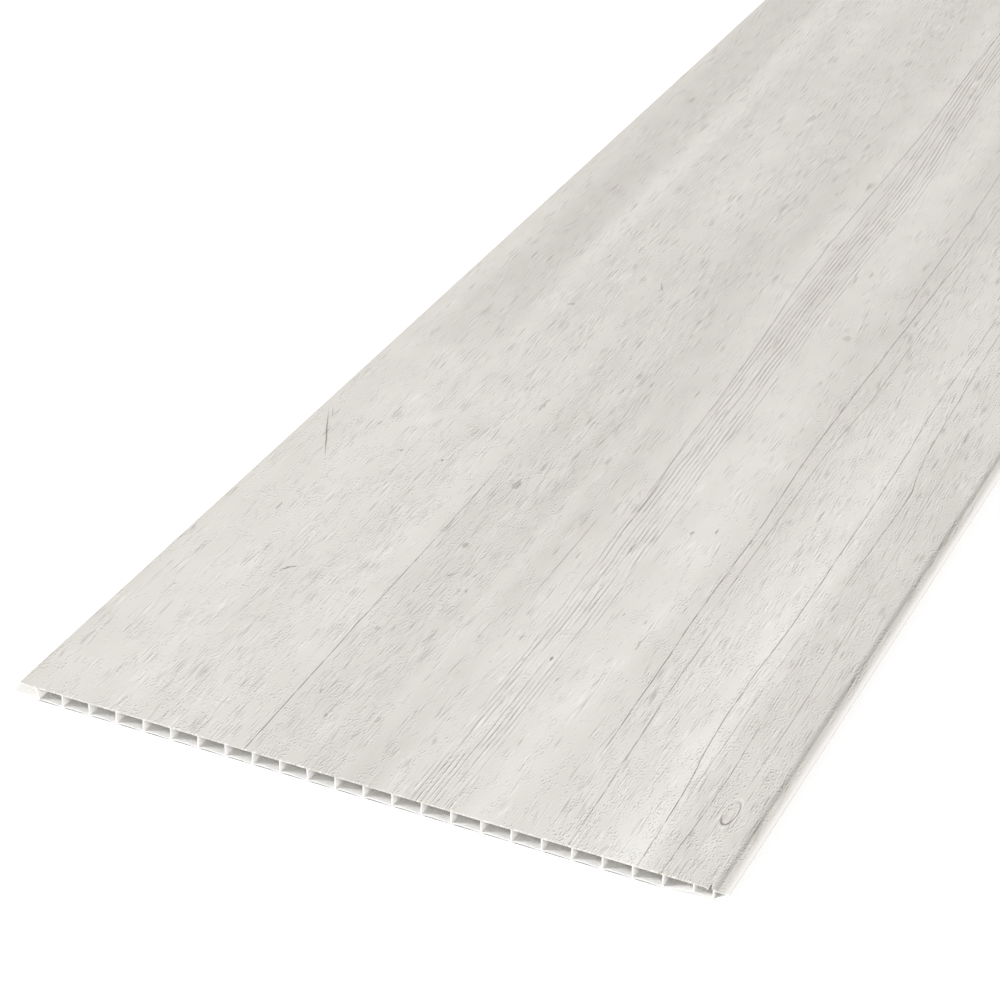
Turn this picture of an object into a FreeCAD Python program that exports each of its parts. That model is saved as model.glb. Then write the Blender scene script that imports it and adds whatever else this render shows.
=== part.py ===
"""PVC wall panel: one hollow extrusion with a groove along one long edge and a tongue along the other.

Millimetres. X runs across the panel, Y along it and Z up, with the panel lying on its back, decor side up.
The origin is at the centre of the underside.
"""
import FreeCAD, Part
import math
import os

# Stock size
COVER_WIDTH = 375.0         # decor width, which is what one panel covers on the wall
PANEL_LENGTH = 2600.0
THICKNESS = 8.0

# Walls of the extrusion
FACE_SKIN = 0.8
BACK_SKIN = 0.8
WEB_WALL = 0.6
CELL_PITCH = 15.37          # web to web
MIN_LAST_CELL = 0.35        # a last cell under this share of the pitch is joined to the cell beside it
ROOT_FILLET = 0.45          # inside corners, where a web meets a skin
EDGE_ROUND = 0.3            # outside corners, on the free edges of the walls
EDGE_SHARE = 0.4            # of a thin wall, the most that one edge round may take

# Fit between neighbouring panels
JOINT_CLEARANCE = 0.1       # wherever a wall of one panel lies over a wall of the next

# Groove edge: the face overhangs the first web as a lip, and a flange carries on below it
GROOVE_DEPTH = 9.5          # lip edge to the first web, under the face
GROOVE_LEAN = 1.6           # the first web slopes in by this much towards the back
FLANGE_REACH = 5.0          # past the edge of the decor
FLANGE_WALL = 1.0

# Tongue edge: a hollow three-cornered tongue on the last web, and a recess for the neighbour's flange
TONGUE_REACH = 6.0          # past the edge of the decor
TONGUE_WALL = 0.45
TONGUE_NOSE = 0.5           # height of the blunt tip
END_WEB_SETBACK = 1.5       # from the edge of the decor to the outer side of the last web
BEVEL_WIDTH = 3.0           # rolled-down edge of the decor at the seam
BEVEL_ROUNDED = 0.75        # share of the bevel's slope that its round takes
RECESS_HEIGHT = 2.3         # how far the back is raised for the neighbour's flange, at the top of the ramp
RECESS_END = 1.75           # and at the foot of the last web, where it comes down to the flange
RECESS_CELLS = 2            # cells under which it is raised, counted from the tongue
RAMP_ROUND = 3.0            # where the back bends up to the recess and levels out again

# Places that follow from those sizes: x is from the left edge of the decor, z from the back
CELL_ROOF = THICKNESS - FACE_SKIN
TONGUE_TOP = CELL_ROOF - JOINT_CLEARANCE
GROOVE_FOOT_X = GROOVE_DEPTH + GROOVE_LEAN
FLANGE_RUN = GROOVE_FOOT_X + FLANGE_REACH
FLANGE_RISE = (
    (RECESS_END - JOINT_CLEARANCE - FLANGE_WALL) * FLANGE_RUN / (GROOVE_FOOT_X + END_WEB_SETBACK)
)
END_WEB_OUTER_X = COVER_WIDTH - END_WEB_SETBACK
TONGUE_TIP_X = COVER_WIDTH + TONGUE_REACH
CENTRE_X = (TONGUE_TIP_X - FLANGE_REACH) / 2


def section_point(x, z):
    """A point of the cross-section, at the near end of the panel."""
    return FreeCAD.Vector(x - CENTRE_X, -PANEL_LENGTH / 2, z)


def unit(start, end):
    """Unit vector from one (x, z) point towards another."""
    length = math.hypot(end[0] - start[0], end[1] - start[1])
    return (end[0] - start[0]) / length, (end[1] - start[1]) / length


def corner_arc(before, corner, after, radius):
    """Start, middle and end of the arc that rounds a corner and is tangent to both its sides."""
    back = unit(corner, before)
    ahead = unit(corner, after)
    half_angle = math.acos(back[0] * ahead[0] + back[1] * ahead[1]) / 2
    setback = radius / math.tan(half_angle)
    inward = unit((0, 0), (back[0] + ahead[0], back[1] + ahead[1]))
    rise = radius / math.sin(half_angle) - radius
    return [
        (corner[0] + direction[0] * distance, corner[1] + direction[1] * distance)
        for direction, distance in ((back, setback), (inward, rise), (ahead, setback))
    ]


def rounded_outline(corners):
    """Closed wire through (x, z, radius) corners. A corner of radius 0 stays sharp."""
    arcs = []
    for i, (x, z, radius) in enumerate(corners):
        after = corners[(i + 1) % len(corners)]
        arcs.append(corner_arc(corners[i - 1], (x, z), after, radius))
    edges = []
    for i, (start, middle, end) in enumerate(arcs):
        if corners[i][2] > 0:
            arc = Part.Arc(section_point(*start), section_point(*middle), section_point(*end))
            edges.append(arc.toShape())
        next_start = arcs[(i + 1) % len(arcs)][0]
        edges.append(Part.makeLine(section_point(*end), section_point(*next_start)))
    return Part.Wire(edges)


def edge_round(wall):
    """Round of one edge on the end of a wall, so that two of them fit on it."""
    return min(EDGE_ROUND, EDGE_SHARE * wall)


def web_centres():
    """Centre line of every web at the face: the groove wall, the full pitches, then the last web."""
    first = GROOVE_DEPTH + WEB_WALL / 2
    last = END_WEB_OUTER_X - WEB_WALL / 2
    full_cells = int((last - first) / CELL_PITCH)
    if last - first - full_cells * CELL_PITCH < MIN_LAST_CELL * CELL_PITCH:
        full_cells -= 1
    return [first + CELL_PITCH * i for i in range(full_cells + 1)] + [last]


WEBS = web_centres()
RAMP_START = WEBS[-RECESS_CELLS - 1]
RAMP_END = WEBS[-RECESS_CELLS]


def back_level(x):
    """Height of the underside: flat, up the ramp, then a little down again to the foot of the last web."""
    if x > RAMP_END:
        share = (x - RAMP_END) / (END_WEB_OUTER_X - RAMP_END)
        return RECESS_HEIGHT + share * (RECESS_END - RECESS_HEIGHT)
    return RECESS_HEIGHT * max(x - RAMP_START, 0.0) / (RAMP_END - RAMP_START)


def outer_outline():
    """The whole outside of the section, clockwise from the lip."""
    lip = edge_round(FACE_SKIN)
    flange = edge_round(FLANGE_WALL)
    nose = edge_round(TONGUE_NOSE)
    bevel_run = BEVEL_WIDTH / 2
    bevel_drop = THICKNESS - TONGUE_TOP
    bevel_slope = math.atan2(bevel_drop, bevel_run)
    bevel_round = BEVEL_ROUNDED * math.hypot(bevel_run, bevel_drop) / math.tan(bevel_slope / 2)
    return rounded_outline([
        (0.0, THICKNESS, lip),
        (COVER_WIDTH - bevel_run, THICKNESS, bevel_round),
        (COVER_WIDTH, TONGUE_TOP, 0.0),
        (TONGUE_TIP_X, TONGUE_TOP, nose),
        (TONGUE_TIP_X, TONGUE_TOP - TONGUE_NOSE, nose),
        (END_WEB_OUTER_X, RECESS_END, EDGE_ROUND),
        (RAMP_END, RECESS_HEIGHT, RAMP_ROUND),
        (RAMP_START, 0.0, RAMP_ROUND),
        (GROOVE_FOOT_X, 0.0, RAMP_ROUND),
        (-FLANGE_REACH, FLANGE_RISE, flange),
        (-FLANGE_REACH, FLANGE_RISE + FLANGE_WALL, flange),
        (GROOVE_FOOT_X, FLANGE_WALL, ROOT_FILLET),
        (GROOVE_DEPTH, CELL_ROOF, ROOT_FILLET),
        (0.0, CELL_ROOF, lip),
    ])


def cell_outline(i):
    """The hollow between web i and the next one. The first leans with the groove wall."""
    roof_left = WEBS[i] + WEB_WALL / 2
    right = WEBS[i + 1] - WEB_WALL / 2
    floor_left = roof_left + GROOVE_LEAN if i == 0 else roof_left
    return rounded_outline([
        (roof_left, CELL_ROOF, ROOT_FILLET),
        (right, CELL_ROOF, ROOT_FILLET),
        (right, back_level(right) + BACK_SKIN, ROOT_FILLET),
        (floor_left, back_level(floor_left) + BACK_SKIN, ROOT_FILLET),
    ])


def tongue_outline():
    """The three-cornered hollow of the tongue, one wall in from its top and its sloping underside."""
    slope = math.atan2(TONGUE_TOP - TONGUE_NOSE - RECESS_END, TONGUE_TIP_X - END_WEB_OUTER_X)
    roof = TONGUE_TOP - TONGUE_WALL
    floor = RECESS_END + TONGUE_WALL / math.cos(slope)
    height = roof - floor
    width = height / math.tan(slope)
    inner_radius = (height + width - math.hypot(height, width)) / 2
    fillet = min(ROOT_FILLET, EDGE_SHARE * inner_radius)
    return rounded_outline([
        (END_WEB_OUTER_X, roof, fillet),
        (END_WEB_OUTER_X + width, roof, fillet),
        (END_WEB_OUTER_X, floor, fillet),
    ])


def hollow_panel():
    """The section, with its hollows, drawn out to the length of the panel."""
    hollows = [cell_outline(i) for i in range(len(WEBS) - 1)]
    hollows.append(tongue_outline())
    section = Part.makeFace([outer_outline()] + hollows, "Part::FaceMakerBullseye")
    return section.extrude(FreeCAD.Vector(0, PANEL_LENGTH, 0))


os.makedirs("parts", exist_ok=True)
panel = hollow_panel()
panel.exportStep("parts/hollow_panel.step")
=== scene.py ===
"""The looks of a hollow PVC wall panel lying decor side up, in metres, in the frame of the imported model."""
import math

import bmesh
import bpy
from mathutils import Matrix, Vector


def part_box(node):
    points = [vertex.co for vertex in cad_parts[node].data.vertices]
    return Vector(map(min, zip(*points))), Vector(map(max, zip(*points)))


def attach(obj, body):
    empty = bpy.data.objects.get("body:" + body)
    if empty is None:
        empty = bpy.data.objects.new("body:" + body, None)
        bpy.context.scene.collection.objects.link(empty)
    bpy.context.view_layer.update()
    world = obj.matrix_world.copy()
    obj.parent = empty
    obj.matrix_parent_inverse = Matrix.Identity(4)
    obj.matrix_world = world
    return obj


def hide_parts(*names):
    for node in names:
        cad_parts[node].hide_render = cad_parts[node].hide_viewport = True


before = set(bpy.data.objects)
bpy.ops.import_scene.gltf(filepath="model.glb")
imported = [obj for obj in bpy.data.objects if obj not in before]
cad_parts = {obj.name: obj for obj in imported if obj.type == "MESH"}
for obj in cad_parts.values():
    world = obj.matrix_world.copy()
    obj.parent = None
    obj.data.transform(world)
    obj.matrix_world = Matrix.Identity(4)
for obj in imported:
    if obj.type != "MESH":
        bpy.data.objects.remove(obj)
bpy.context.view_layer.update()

MM = 0.001

# The panel
# One hollow extrusion of rigid white PVC. Its webs weld to the skins a little off their pitch and lean as
# the hot section cools, and the back skin draws up between them. The near end is sawn, and its face skin
# is chipped near the right corner.
low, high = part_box("hollow_panel")
FLANGE_REACH = 5 * MM
LEFT_EDGE = low.x + FLANGE_REACH    # the decor's edge over the groove
NEAR_END = low.y
TOP = high.z
SAME_PLACE = 0.001 * MM             # points closer than this are one point
FIRST_WEB = LEFT_EDGE + 9.8 * MM
WEB_PITCH = 15.37 * MM
FULL_CELLS = 23
FLAT_CELLS = 22                     # the cells whose back lies on the floor
SKIN = 0.8 * MM
SKIN_REACH = 1.6 * SKIN             # how deep the faces of a skin go, the feet of their fillets included
WEB_REACH = 1.2 * MM                # either side of a web's centre line, its fillets included
WANDER_MEAN = 0.45 * MM             # how far the webs stand off their pitch
WANDER_SWING = 0.65 * MM
WANDER_WAVE = 13                    # webs from one crest of the wander to the next
WANDER_START = 2.75                 # the web, from 0 at the left, where the wander crosses its mean
LEAN_SWING = 0.22 * MM              # how far a web's top stands off its foot
LEAN_STEP = 2.3                     # radians from web to web, so that no two neighbours lean alike
LEAN_START = 0.6
WEB_FOOT = 0.8 * MM                 # either side of a web's foot, where the back skin stays on the floor
SINK = 0.50 * MM                    # how far the back skin draws up between two webs
SINK_SHAPE = (                      # shares of the way across a cell, and of SINK at that place
    (0.0, 0.0), (0.12, 0.8), (0.32, 1.0), (0.6, 0.8), (0.85, 0.2), (1.0, 0.0),
)
CHIP_FLAP = 368.6 * MM              # from the decor's edge: where the skin beside the chip starts to bend
CHIP_LEFT = 370.5 * MM
CHIP_MIDDLE = 371.3 * MM
CHIP_RIGHT = 372.3 * MM
CHIP_DEPTH = 4.9 * MM
CHIP_LEAN = 0.6 * MM                # how far the point of the chip stands off its middle
CHIP_DROP = 0.4 * MM                # how far the skin beside it is bent down
CHIP_ROOM = 6 * MM                  # of the end that the chip stays within
CHIP_REACH = 1.2 * SKIN             # how far down from the top the chip goes
FILM_REACH = 1.3 * SKIN             # how far down from the top the film goes, on the bevel and the tongue
FACES_UP = 0.05                     # the least rise of a face's normal that counts as on top
FACES_NEAR = -0.9                   # how squarely a face's normal points out of the near end


def web_place(i):
    """Centre line of web i on its pitch, across the panel."""
    return FIRST_WEB + i * WEB_PITCH


def web_wander(i, z):
    """How far web i stands off its place at that height."""
    swing = math.sin(2 * math.pi * (i - WANDER_START) / WANDER_WAVE)
    lean = math.sin(LEAN_STEP * i + LEAN_START) * (z / TOP - 0.5)
    return WANDER_MEAN + WANDER_SWING * swing + LEAN_SWING * lean


def cut(faces, place, direction):
    """New edges where a plane passes through these faces of the shell. Gives back the faces afterwards."""
    edges = {edge for face in faces for edge in face.edges}
    verts = {vert for face in faces for vert in face.verts}
    geometry = list(verts) + list(edges) + list(faces)
    result = bmesh.ops.bisect_plane(shell, geom=geometry, plane_co=place, plane_no=direction)
    return [part for part in result["geom"] if isinstance(part, bmesh.types.BMFace)]


shell = bmesh.new()
shell.from_mesh(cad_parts["hollow_panel"].data)
bmesh.ops.remove_doubles(shell, verts=shell.verts, dist=SAME_PLACE)

for i in range(1, FULL_CELLS + 1):
    for vert in shell.verts:
        within = SKIN / 2 < vert.co.z < TOP - SKIN / 2
        if within and abs(vert.co.x - web_place(i)) < WEB_REACH:
            vert.co.x += web_wander(i, vert.co.z)

back_skin = [face for face in shell.faces if any(vert.co.z < SKIN_REACH for vert in face.verts)]
rises = []
for i in range(FLAT_CELLS):
    start = web_place(i) + (web_wander(i, 0) if i else 0) + WEB_FOOT
    end = web_place(i + 1) + web_wander(i + 1, 0) - WEB_FOOT
    for share, rise in SINK_SHAPE:
        place = start + share * (end - start)
        rises.append((place, rise))
        back_skin = cut(back_skin, (place, 0, 0), (1, 0, 0))
for vert in shell.verts:
    if vert.co.z < SKIN_REACH:
        for place, rise in rises:
            if abs(vert.co.x - place) < SAME_PLACE:
                vert.co.z += SINK * rise

face_skin = [face for face in shell.faces if any(vert.co.z > TOP - SKIN_REACH for vert in face.verts)]
face_skin = cut(face_skin, (0, NEAR_END + CHIP_ROOM, 0), (0, 1, 0))
for place in (CHIP_FLAP, CHIP_LEFT, CHIP_MIDDLE, CHIP_RIGHT):
    face_skin = cut(face_skin, (LEFT_EDGE + place, 0, 0), (1, 0, 0))
for vert in shell.verts:
    if vert.co.y < NEAR_END + SAME_PLACE and vert.co.z > TOP - CHIP_REACH:
        from_edge = vert.co.x - LEFT_EDGE
        if abs(from_edge - CHIP_MIDDLE) < SAME_PLACE:
            vert.co.y += CHIP_DEPTH
            vert.co.x -= CHIP_LEAN
        elif abs(from_edge - CHIP_LEFT) < SAME_PLACE:
            vert.co.z -= CHIP_DROP

FILM, BARE = 0, 1
shell.normal_update()
for face in shell.faces:
    middle = face.calc_center_median()
    on_top = middle.z > TOP - FILM_REACH and face.normal.z > FACES_UP
    on_end = middle.z > TOP - SKIN and face.normal.y < FACES_NEAR and middle.x > FIRST_WEB
    face.material_index = FILM if on_top or on_end else BARE
    face.smooth = False

mesh = bpy.data.meshes.new("panel")
shell.to_mesh(mesh)
shell.free()
panel = bpy.data.objects.new("panel", mesh)
bpy.context.collection.objects.link(panel)
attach(panel, "root")
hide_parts("hollow_panel")


class Signal:
    """A socket of the material being made. Arithmetic on it adds the Math nodes."""
    tree = None

    def __init__(self, socket):
        self.socket = socket

    @staticmethod
    def node(kind, settings, values, output=0):
        """A new node: its settings first, then a number or a signal for each of its sockets."""
        node = Signal.tree.nodes.new("ShaderNode" + kind)
        for name, setting in settings.items():
            if name == "points":
                curve = node.mapping.curves[0]
                for place, level in setting[1:-1]:
                    curve.points.new(place, level)
                curve.points[0].location = setting[0]
                curve.points[-1].location = setting[-1]
                for point in curve.points:
                    point.handle_type = "AUTO_CLAMPED"
                node.mapping.update()
            else:
                setattr(node, name, setting)
        for name, value in values.items():
            if isinstance(value, Signal):
                value.feed(node.inputs[name])
            else:
                node.inputs[name].default_value = value
        return Signal(node.outputs[output])

    def feed(self, entry):
        """Links this to a socket of a node that is there already."""
        Signal.tree.links.new(self.socket, entry)

    def other(self, name):
        """Another output of the same node."""
        return Signal(self.socket.node.outputs[name])

    def math(self, operation, *others):
        return Signal.node("Math", {"operation": operation}, dict(enumerate((self,) + others)))

    def __add__(self, other):
        return self.math("ADD", other)

    def __sub__(self, other):
        return self.math("SUBTRACT", other)

    def __rsub__(self, other):
        return Signal.node("Math", {"operation": "SUBTRACT"}, {0: other, 1: self})

    def __mul__(self, other):
        return self.math("MULTIPLY", other)

    def __truediv__(self, other):
        return self.math("DIVIDE", other)

    def __abs__(self):
        return self.math("ABSOLUTE")

    __radd__ = __add__
    __rmul__ = __mul__

    def fade(self, start, end, first=0.0, last=1.0):
        """The first value at start and the last at end, with soft shoulders. Start may be the higher."""
        if start > end:
            return self.fade(end, start, last, first)
        settings = {"interpolation_type": "SMOOTHSTEP"}
        ends = {"From Min": start, "From Max": end, "To Min": first, "To Max": last}
        return Signal.node("MapRange", settings, {"Value": self, **ends})

    def mix(self, first, second):
        """Colour between two colours, by this factor."""
        settings = {"data_type": "RGBA"}
        sockets = {0: self, 6: first, 7: second}
        return Signal.node("Mix", settings, sockets, output=2)


def paint(red, green, blue):
    """Linear colour from the 0 to 255 levels that a screen shows."""
    levels = [level / 255 for level in (red, green, blue)]
    return [((level + 0.055) / 1.055) ** 2.4 for level in levels] + [1.0]


def new_material(name):
    """An empty material that signals are then made in, and its shader."""
    material = bpy.data.materials.new(name)
    material.use_nodes = True
    Signal.tree = material.node_tree
    return material, material.node_tree.nodes["Principled BSDF"]


PVC_WHITE = paint(248, 245, 241)
PVC_ROUGHNESS = 0.42
PVC_SPECULAR = 0.35
PVC_GLOW = 1.5 * MM                 # how far light spreads inside the thin walls
white_pvc, shader = new_material("white PVC")
shader.inputs["Base Color"].default_value = PVC_WHITE
shader.inputs["Roughness"].default_value = PVC_ROUGHNESS
shader.inputs["Specular IOR Level"].default_value = PVC_SPECULAR
shader.inputs["Subsurface Weight"].default_value = 1.0
shader.inputs["Subsurface Radius"].default_value = (1.0, 1.0, 1.0)
shader.inputs["Subsurface Scale"].default_value = PVC_GLOW

# The printed film
# A whitewashed pine grain printed on a thin film that is laminated to the face. It wraps down the bevel at
# the seam, with painted shade where it rolls down, and on the tongue it fades to bare white: the film's edge,
# spread into a painted shade under the step. Its strokes and fine lines carry painted relief shading and
# painted highlights. Places are in mm from the decor's left edge and from the near end, and tones in levels
# from the wash.
WASH = paint(224, 220, 214)
WASH_LIGHT = paint(242, 240, 235)
WASH_DEPTH = 22.0                   # levels from the wash to the lightest brushing
GRAIN_DARK = paint(140, 134, 127)
GRAIN_DEPTH = 78.0                  # levels from the wash to the darkest grain
FILM_SPECULAR = 0.2
FILM_ROUGHNESS = 0.56
BRUSH_ROUGHNESS = 0.16              # more of it on the strokes of the brush
CURVE_LENGTH = 2600.0               # mm that a curve along the panel spans
CURVE_WIDTH = 400.0                 # mm that a curve across it spans
LEVEL_SPAN = 40.0                   # levels that a curve of tones spans, half of them below the mean
MM_PER_METRE = 1000

film, shader = new_material("printed film")
position = Signal.node("SeparateXYZ", {}, {0: Signal.node("TexCoord", {}, {}, output="Object")})
across = (position.other("X") - LEFT_EDGE) * MM_PER_METRE
along = (position.other("Y") - NEAR_END) * MM_PER_METRE
share_along = along / CURVE_LENGTH


def curve_along(span, course):
    """A share of that span that changes along the panel, through (mm from the near end, value) points."""
    points = [(far / CURVE_LENGTH, value / span) for far, value in course]
    return Signal.node("FloatCurve", {"points": points}, {"Value": share_along})


def tones_over(distance, span, tones):
    """Tone in levels through (mm, level) points over that distance."""
    points = [(far / span, level / LEVEL_SPAN + 0.5) for far, level in tones]
    curve = Signal.node("FloatCurve", {"points": points}, {"Value": distance / span})
    return (curve - 0.5) * LEVEL_SPAN


def cloud(x, y, x_size, y_size, detail=1.0, roughness=0.5, seed=0.0):
    """Soft noise from 0 to 1, in patches of about x_size by y_size mm."""
    places = {
        0: x.math("MULTIPLY_ADD", 1 / x_size, seed),
        1: y.math("MULTIPLY_ADD", 1 / y_size, seed * 0.37),
    }
    settings = {"noise_dimensions": "2D"}
    values = {"Scale": 1.0, "Detail": detail, "Roughness": roughness}
    return Signal.node("TexNoise", settings, {"Vector": Signal.node("CombineXYZ", {}, places), **values})


def waver(reach, x, y, x_size, y_size, detail=1.0, seed=0.0):
    """Soft noise about 0, that far from its lowest to its highest."""
    return (cloud(x, y, x_size, y_size, detail=detail, seed=seed) - 0.5) * reach


# How the grain runs: the board drifts to the left on its way to the far end, and its fibres sway.
drift = CURVE_WIDTH * curve_along(CURVE_WIDTH, (
    (0, 0), (150, 1), (300, 3), (450, 8), (600, 14), (900, 20), (1100, 28),
    (1400, 31), (1700, 24), (2000, 22), (2300, 30), (2600, 41),
))
board = across + drift
fibre = board + waver(3.2, board, along, 60, 110, seed=3.1)

# Broad streaks of paler and darker wash, which change to others on the way, and clouds in them.
NEAR_STREAKS_END = 330
FAR_STREAKS_START = 520
near_tones = tones_over(board, CURVE_WIDTH, (
    (0, -3), (20, 2), (50, 4), (75, 1), (100, 1), (115, 3), (130, -4), (143, -7), (158, -3), (168, -9),
    (180, -2), (190, -8), (205, -2), (225, 2), (240, 3), (262, 6), (279, -2), (295, -1), (303, 4),
    (318, 7), (331, 11), (340, 3), (352, -6), (362, -4), (370, -8), (400, -8),
))
far_tones = tones_over(board, CURVE_WIDTH, (
    (0, 5), (20, 3), (42, -8), (62, -7), (77, 6), (92, -1), (110, 1), (150, -2), (165, -6), (187, -6),
    (202, 2), (222, -1), (240, 4), (258, 3), (279, -6), (293, -4), (310, 1), (330, 4), (355, 0), (400, 0),
))
tone = near_tones + (far_tones - near_tones) * along.fade(NEAR_STREAKS_END, FAR_STREAKS_START)
tone = tone + tones_over(along, CURVE_LENGTH, (
    (0, 1), (150, -1), (320, -4), (600, -9), (1100, -10), (2600, -10),
))
tone = tone + waver(12, board, along, 22, 190, seed=7.3)
tone = tone + waver(10, board, along, 24, 34, seed=1.7)

# Where strokes crowd: more of them in some streaks than in others, and in patches.
CROWDING = 0.004                    # of the noise, for each unit in the curve
PATCH_EDGE = (0.45, 0.60)
crowd = CROWDING * tones_over(board, CURVE_WIDTH, (
    (0, 6), (6, -10), (20, -10), (37, -4), (55, 0), (80, 4), (98, 14), (114, 8), (121, -8), (132, 8),
    (155, 12), (175, 8), (186, -8), (210, -8), (228, 2), (243, -10), (275, -8), (285, 2), (296, 8),
    (314, 10), (325, -4), (336, 8), (368, 6), (380, 4), (400, 4),
))
speckled = (cloud(board, along, 8, 22, detail=3, roughness=0.7, seed=9.4) + crowd).fade(*PATCH_EDGE)
brushed = (cloud(board, along, 7, 36, detail=2, roughness=0.7, seed=6.2) + crowd).fade(*PATCH_EDGE)


def speckle(sideways, endways):
    """Short strokes of the brush, moved that far in mm."""
    return cloud(fibre + sideways, along + endways, 0.85, 1.8, detail=2, roughness=0.7, seed=2.6)


# Short strokes of the print, each with painted relief shading: painted shade on the stroke and a painted
# highlight just to its right, as a pressed stroke shows under a lamp from the left. They are grey where they
# are strongest.
STROKE_EDGE = (0.52, 0.66)
STROKE_SHIFT = (-0.35, 0.42)        # mm from a stroke to its painted highlight
SPARSE_STROKE = 10
CROWDED_STROKE = 54
SPOT_EDGE = (0.65, 0.77)
SPOT_DEPTH = 60
strokes = speckle(0, 0)
# painted relief shading: painted shade on each stroke and a painted highlight beside it
stroke_relief_shading = strokes.fade(*STROKE_EDGE) - speckle(*STROKE_SHIFT).fade(*STROKE_EDGE)
tone = tone - stroke_relief_shading * speckled.fade(0, 1, SPARSE_STROKE, CROWDED_STROKE)
tone = tone + strokes.fade(*SPOT_EDGE, 0, -SPOT_DEPTH) * speckled

# Hair lines of the grain, dark ones with pale ones between.
DARK_HAIR = 34
PALE_HAIR = 12
hairs = cloud(fibre, along, 0.6, 20, detail=1, roughness=0.6, seed=8.2)
hairs = hairs.fade(0.56, 0.70, 0, -DARK_HAIR) + hairs.fade(0.34, 0.45, PALE_HAIR, 0)
tone = tone + hairs * brushed

# Single long lines of the print, each on its own course across the panel and as strong as its weights say.
LINE_DEPTH = 84.0                   # levels from the wash to the core of a line
LINE_HALF_WIDTH = 0.24
drawn = across + waver(0.8, along, across, 24, 40, detail=2, seed=4.4)


def grain_line(course, weights, half_width=LINE_HALF_WIDTH):
    """Levels of one long dark line, from its (mm, mm) course and its (mm, share) weights along the panel."""
    side = curve_along(CURVE_WIDTH, course).math("MULTIPLY_ADD", -CURVE_WIDTH, drawn)
    line = abs(side).fade(half_width * 0.3, half_width * 1.7, -LINE_DEPTH, 0)
    return line * curve_along(1, weights)


grain_lines = (
    (
        ((0, 129), (67, 128), (133, 126.7), (233, 125.7), (300, 124), (450, 118), (2600, 90)),
        ((0, 1.0), (150, 0.9), (250, 0.7), (300, 0.3), (330, 0), (2600, 0)),
    ),
    (
        ((0, 288), (100, 285), (160, 283.3), (200, 281.7), (300, 280), (367, 277.3), (433, 276),
         (600, 276.7), (700, 278), (1000, 265), (2600, 240)),
        ((0, 0), (70, 0.2), (110, 1.0), (600, 0.9), (760, 0.5), (1200, 0.5), (1500, 0), (2600, 0)),
    ),
    (
        ((0, 290), (250, 287), (400, 285), (467, 287.3), (533, 286.7), (600, 285.7),
         (700, 282), (2600, 250)),
        ((0, 0), (200, 0), (260, 0.6), (600, 0.5), (800, 0), (2600, 0)),
    ),
    (
        ((0, 301), (33, 300), (100, 297), (150, 295), (200, 294.3), (300, 292), (2600, 260)),
        ((0, 0.6), (120, 0.7), (200, 0.3), (240, 0), (2600, 0)),
        0.32,
    ),
    (
        ((0, 335.7), (73, 332.7), (100, 330), (167, 328.3), (217, 329.3), (300, 328.3), (400, 326.7),
         (467, 324), (600, 322.7), (1000, 308), (2600, 280)),
        ((0, 1.0), (330, 0.9), (600, 0.6), (900, 0.4), (1400, 0), (2600, 0)),
    ),
    (
        ((0, 341), (300, 341.7), (367, 342.7), (400, 338.3), (500, 333.3), (600, 330), (2600, 280)),
        ((0, 0), (240, 0), (300, 0.7), (600, 0.5), (760, 0), (2600, 0)),
    ),
    (
        ((0, 347.3), (67, 348.3), (113, 347.3), (157, 345), (300, 341), (2600, 280)),
        ((0, 0.8), (120, 0.7), (165, 0), (2600, 0)),
    ),
    (
        ((0, 337), (50, 336.7), (217, 336.7), (300, 335), (2600, 280)),
        ((0, 0), (40, 0), (60, 0.5), (200, 0.5), (230, 0), (2600, 0)),
    ),
    (
        ((0, 360), (83, 359.5), (140, 359.5), (200, 358), (300, 355), (2600, 300)),
        ((0, 0), (75, 0), (90, 0.6), (135, 0.6), (300, 0.3), (700, 0.3), (900, 0), (2600, 0)),
    ),
    (
        ((0, 216), (300, 213), (367, 208), (433, 205.7), (493, 202.7), (533, 200), (600, 195.7), (900, 191),
         (1000, 187), (2600, 160)),
        ((0, 0), (240, 0), (300, 0.8), (700, 0.8), (1200, 0.4), (1500, 0), (2600, 0)),
    ),
    (
        ((0, 198), (200, 197), (265, 196.5), (2600, 160)),
        ((0, 0), (190, 0), (205, 0.6), (260, 0.6), (280, 0), (2600, 0)),
    ),
    (
        ((0, 300), (560, 270), (600, 268), (713, 265), (900, 258), (2600, 220)),
        ((0, 0), (560, 0), (610, 0.7), (760, 0.6), (1000, 0.4), (1300, 0), (2600, 0)),
    ),
)
lines = grain_line(*grain_lines[0])
for line in grain_lines[1:]:
    lines = lines + grain_line(*line)

# A bed of fine lines that lie side by side, like the year rings of a board, each with a painted highlight
# just to its right, as if its relief were lit from the left.
BED_HALF_WIDTH = 14
BED_EDGE = 4                        # mm over which the bed fades out at either side
BED_PITCH = 2.45
BED_WAVER = 1.8
RIDGE_DEPTH = 62                    # levels from the wash to the core of a fine line
PAINTED_HIGHLIGHT = 10                   # levels of the painted highlight beside a fine line
HIGHLIGHT_PLACE = 0.72                 # of a pitch, from a fine line to its painted highlight
RING_SEED = 1.3
bed_course = (
    (0, 228), (150, 227), (300, 222), (500, 216), (600, 213), (750, 212), (900, 203), (1000, 197),
    (1100, 193), (1600, 188), (2600, 170),
)
in_bed = drawn - CURVE_WIDTH * curve_along(CURVE_WIDTH, bed_course)
in_bed = in_bed + waver(BED_WAVER, along, across, 60, 12, seed=RING_SEED)
ridge = abs((in_bed / BED_PITCH).math("FRACT") - 0.5) * BED_PITCH
to_highlight = abs((in_bed / BED_PITCH + HIGHLIGHT_PLACE).math("FRACT") - 0.5) * BED_PITCH
bed = abs(in_bed).fade(BED_HALF_WIDTH, BED_HALF_WIDTH - BED_EDGE)
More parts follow.
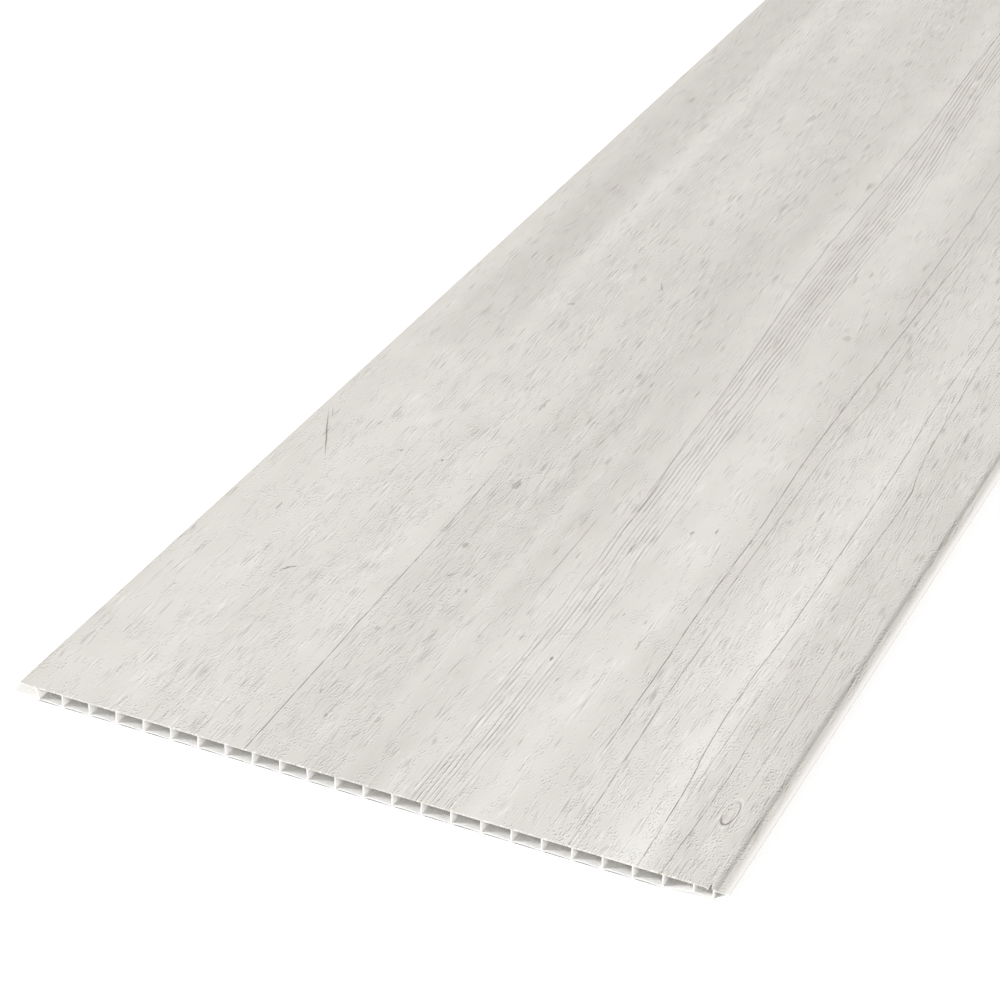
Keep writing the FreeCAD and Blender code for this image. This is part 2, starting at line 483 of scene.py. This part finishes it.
broken = cloud(in_bed, along, BED_PITCH * 0.8, 70, detail=1, roughness=0.6, seed=RING_SEED).fade(0.34, 0.54)
# the printed fine lines, and the painted highlight on the right of each
rings = to_highlight.fade(0.15, 0.6, PAINTED_HIGHLIGHT, 0) + ridge.fade(0.05, 0.42, -RIDGE_DEPTH, 0)
lines = lines + rings * bed * broken

FAINTEST_LINE = 0.4                 # share of a line that is left where it prints weakest
tone = tone + lines * cloud(along, across, 7, 14, seed=6.6).fade(0.30, 0.54, FAINTEST_LINE, 1.0)

# Single marks, most of them with ragged edges, and a long slanting crack with steady ones.
ragged = waver(2.6, across, along, 5, 5, seed=8.8)
smudged = Signal.node("CombineXYZ", {}, {0: across + ragged, 1: along - ragged})
steady = Signal.node("CombineXYZ", {}, {0: drawn, 1: along})


def mark(x, y, half_width, half_length, levels, lean=0.0, soft=0.4, where=smudged):
    """Levels of one mark at that place, by half its width and length in mm, and its lean to the right."""
    if lean:
        values = {
            "Vector": where,
            "Location": (x, y, 0),
            "Rotation": (0, 0, -math.atan(lean)),
            "Scale": (half_width, half_length, 1),
        }
        spot = Signal.node("Mapping", {"vector_type": "TEXTURE"}, values)
    else:
        values = {
            0: where,
            1: (1 / half_width, 1 / half_length, 0),
            2: (-x / half_width, -y / half_length, 0),
        }
        spot = Signal.node("VectorMath", {"operation": "MULTIPLY_ADD"}, values)
    reach = Signal.node("VectorMath", {"operation": "LENGTH"}, {0: spot}, output="Value")
    return reach.fade(1.0 - soft, 1.0, levels, 0)


crack = {"lean": -0.49, "soft": 0.8, "where": steady}
marks = mark(18.3, 289, 0.6, 37, -70, **crack)
marks = marks + mark(9.3, 313, 0.5, 9.5, -30, **crack)
for spot in (
    (68.5, 152.5, 0.72, 6.5, -62, 0.62), (240.4, 120.6, 0.56, 2.2, -60), (150.6, 42, 0.72, 2.2, -40),
    (192, 163, 0.56, 1.6, -44), (139, 60, 0.56, 2.4, -36), (160.5, 172.5, 0.64, 2.6, -40),
    (164.3, 173.5, 0.64, 2.4, -36), (66.3, 290.4, 0.72, 1.8, -44, 0.5), (91.5, 290.9, 0.64, 1.6, -54),
    (141, 285, 2, 6.5, -34), (143, 215, 2.2, 3.2, -30), (150, 185, 0.72, 4.0, -40, 0.7),
    (162, 190, 0.72, 4.5, -34, 0.5), (225.6, 250, 0.64, 10, -52), (260, 288, 0.8, 2.8, -60),
    (249, 280, 0.72, 3.2, -46), (265, 167, 0.48, 6.5, -36), (260, 188, 0.72, 2.4, -46),
    (247, 190, 0.72, 2.0, -40), (230.6, 136, 0.56, 2.6, -62), (33, 206.5, 0.64, 4.8, -46),
    (119.5, 547, 0.56, 8.5, -34, -0.55), (78, 501, 0.64, 4.0, -30, 1.2), (164, 425, 0.72, 5.5, -34),
    (151, 410, 0.64, 6.5, -30), (116.5, 375, 1.12, 10.5, -30), (248, 533, 2.6, 4.5, -18),
    (40.1, 313.4, 0.64, 4.2, -46), (280, 570, 1.2, 5.0, -26), (113, 840, 3, 8.0, -16),
    (233, 622, 0.96, 5.0, -28), (209, 46, 1.12, 4.0, -22), (176, 50, 0.8, 4.0, -30),
    (172, 34, 1.04, 4.5, -26), (217.6, 130, 0.64, 2.6, -56), (189, 138, 0.56, 2.2, -34),
    (138, 122, 0.88, 2.6, -34, 0.4),
):
    marks = marks + mark(*spot)

# A small knot near the right edge: a dark ring that is faint at its far left, a light rim and a faint core.
KNOT_ACROSS = 359.5
KNOT_ALONG = 56
KNOT_HALF_WIDTH = 3.2
KNOT_HALF_LENGTH = 9.6
knot_across = (across - KNOT_ACROSS) / KNOT_HALF_WIDTH
knot_along = (along - KNOT_ALONG) / KNOT_HALF_LENGTH
knot = (knot_across * knot_across + knot_along * knot_along).math("SQRT")
ring = abs(knot - 1.0).fade(0.03, 0.13, -66, 0) * (knot_across - knot_along).fade(-1.6, 1.0, 0.2, 1.0)
rim = abs(knot - 1.28).fade(0.04, 0.14, 12, 0)
core = abs(knot - 0.45).fade(0.05, 0.2, -8, 0)
tone = tone + (marks + ring + rim + core)

SEAM = 373.0                        # where the face starts to roll down to the seam
SEAM_PAINTED_SHADE = 6
# Painted shade where the face rolls down to the seam, which turns away from the key lamp.
tone = tone - across.fade(SEAM - 1.2, SEAM + 0.8) * SEAM_PAINTED_SHADE

# Bare white shows where the saw tore the film at the near end. On the tongue the colour fades from the film
# to bare white: the film's real edge, spread into a painted shade under the step of the seam.
TORN_REACH = 1.3
TONGUE_FADE_START = 376.2
TONGUE_FADE_END = 380.8
torn = cloud(across, along, 2.1, 1.3, detail=1, roughness=0.7, seed=0.9).fade(0.56, 0.72)
sawn = torn * along.fade(TORN_REACH, 0.4)
# on the tongue: bare white past a painted shade under the step
bare_past_step_shade = across.fade(TONGUE_FADE_START, TONGUE_FADE_END)
light = tone.fade(0, WASH_DEPTH)
dark = (tone / -GRAIN_DEPTH).math("MAXIMUM", 0.0).math("MINIMUM", 1.0)
colour = dark.mix(light.mix(WASH, WASH_LIGHT), GRAIN_DARK)
colour = ((1 - sawn) * (1 - bare_past_step_shade)).mix(PVC_WHITE, colour)
colour.feed(shader.inputs["Base Color"])
(strokes * BRUSH_ROUGHNESS + FILM_ROUGHNESS).feed(shader.inputs["Roughness"])
shader.inputs["Specular IOR Level"].default_value = FILM_SPECULAR

# The press leaves a fine grit in the coat.
GRIT_HEIGHT = 0.06 * MM
grit = cloud(across, along, 0.8, 1.7, seed=2.6)
relief = Signal.node("Bump", {}, {"Strength": 0.4, "Distance": GRIT_HEIGHT, "Height": grit})
relief.feed(shader.inputs["Normal"])

mesh.materials.append(film)
mesh.materials.append(white_pvc)

# The floor
# A plain white floor. What the camera sees of it is lifted towards white, and the panel's shadow stays on
# it. The lift would also wash out the thin gaps under the cells, so there the floor is painted dark grey
# instead: a painted contact shade where the floor sees little sky.
FLOOR_SIZE = 60.0
FLOOR_WHITE = 0.82
FLOOR_SEEN = 0.80
FLOOR_LIFT = 0.50
# colour of the painted contact shade in the gaps under the cells
GAP_SHADE = 0.20
GAP_HEIGHT = 1.2 * MM               # gaps lower than this under the cells stay dark
GAP_SHUT = 0.35                     # share of the sky that a place sees where the shade is full
GAP_OPEN = 0.75                     # and where there is none
LAST_FOOT = FIRST_WEB + FLAT_CELLS * WEB_PITCH
ground = bmesh.new()
bmesh.ops.create_grid(ground, x_segments=1, y_segments=1, size=FLOOR_SIZE / 2)
floor_mesh = bpy.data.meshes.new("floor")
ground.to_mesh(floor_mesh)
ground.free()
floor = bpy.data.objects.new("floor", floor_mesh)
bpy.context.collection.objects.link(floor)


def grey(level):
    """Linear colour without a hue."""
    return [level, level, level, 1.0]


def seen_by_camera():
    """1 where the camera looks, also in a reflection or through glass, and 0 for the light's own rays."""
    ray = Signal.node("LightPath", {}, {})
    seen = ray.other("Is Camera Ray")
    for bounce in ("Is Glossy Ray", "Is Transmission Ray"):
        seen = seen.math("MAXIMUM", ray.other(bounce))
    return seen


floor_white, shader = new_material("white floor")
Signal.tree.nodes.remove(shader)
matt = Signal.node("BsdfDiffuse", {}, {"Color": grey(FLOOR_WHITE)})
shown = Signal.node("BsdfDiffuse", {}, {"Color": grey(FLOOR_SEEN)})
lift = Signal.node("Emission", {}, {"Color": grey(1.0), "Strength": FLOOR_LIFT})
lifted = Signal.node("AddShader", {}, {0: shown, 1: lift})
# painted shade: a dark grey floor where a gap under the cells sees little sky
shade = Signal.node("BsdfDiffuse", {}, {"Color": grey(GAP_SHADE)})
sky = Signal.node("AmbientOcclusion", {"samples": 4}, {"Distance": GAP_HEIGHT}, output="AO")
sideways = Signal.node("SeparateXYZ", {}, {0: Signal.node("TexCoord", {}, {}, output="Object")})
beside = sideways.fade(FIRST_WEB + MM, FIRST_WEB) + sideways.fade(LAST_FOOT, LAST_FOOT + MM)
clear = sky.fade(GAP_SHUT, GAP_OPEN).math("MAXIMUM", beside)
floor_look = Signal.node("MixShader", {}, {0: clear, 1: shade, 2: lifted})
surface = Signal.node("MixShader", {}, {0: seen_by_camera(), 1: matt, 2: floor_look})
surface.feed(Signal.tree.nodes["Material Output"].inputs["Surface"])
floor_mesh.materials.append(floor_white)

# The light
# A white room all round, a broad soft lamp from the left of the panel and a little in front of it, and a
# weaker one that looks into the open end from the right.
ROOM_LEVEL = 0.56
KEY_FROM = Vector((-0.94, -0.34, 0.44))
KEY_STRENGTH = 2.8
KEY_SOFTNESS = math.radians(12)
FILL_FROM = Vector((0.7, -0.7, 0.35))
FILL_STRENGTH = 0.9
FILL_SOFTNESS = math.radians(45)

world = bpy.data.worlds.new("studio")
bpy.context.scene.world = world
world.use_nodes = True
Signal.tree = world.node_tree
background = world.node_tree.nodes["Background"]
background.inputs["Color"].default_value = grey(1.0)
level = ROOM_LEVEL + seen_by_camera() * (1 - ROOM_LEVEL)
level.feed(background.inputs["Strength"])


def sun(name, source, strength, softness):
    """A distant lamp that shines from that direction."""
    lamp = bpy.data.lights.new(name, "SUN")
    lamp.energy = strength
    lamp.angle = softness
    holder = bpy.data.objects.new(name, lamp)
    holder.rotation_euler = source.to_track_quat("Z", "Y").to_euler()
    bpy.context.collection.objects.link(holder)


sun("key", KEY_FROM, KEY_STRENGTH, KEY_SOFTNESS)
sun("fill", FILL_FROM, FILL_STRENGTH, FILL_SOFTNESS)

# The camera
# Close to the near right corner and above it, looking along the panel and down on it.
CAMERA_PLACE = Vector((0.5316, -2.2719, 0.8299))
LENS = 103.66                       # for a 36 mm sensor
BEARING = math.radians(25.10)       # turned left from straight along the panel
DOWNWARD = math.radians(31.02)
ROLL = math.radians(0.61)
CLIP_START = 50 * MM
camera_data = bpy.data.cameras.new("camera")
camera_data.lens = LENS
camera_data.clip_start = CLIP_START
camera = bpy.data.objects.new("camera", camera_data)
camera.matrix_world = (
    Matrix.Translation(CAMERA_PLACE)
    @ Matrix.Rotation(BEARING, 4, "Z")
    @ Matrix.Rotation(math.pi / 2 - DOWNWARD, 4, "X")
    @ Matrix.Rotation(ROLL, 4, "Z")
)
bpy.context.collection.objects.link(camera)
bpy.context.scene.camera = camera

bpy.context.scene.view_settings.view_transform = "Standard"
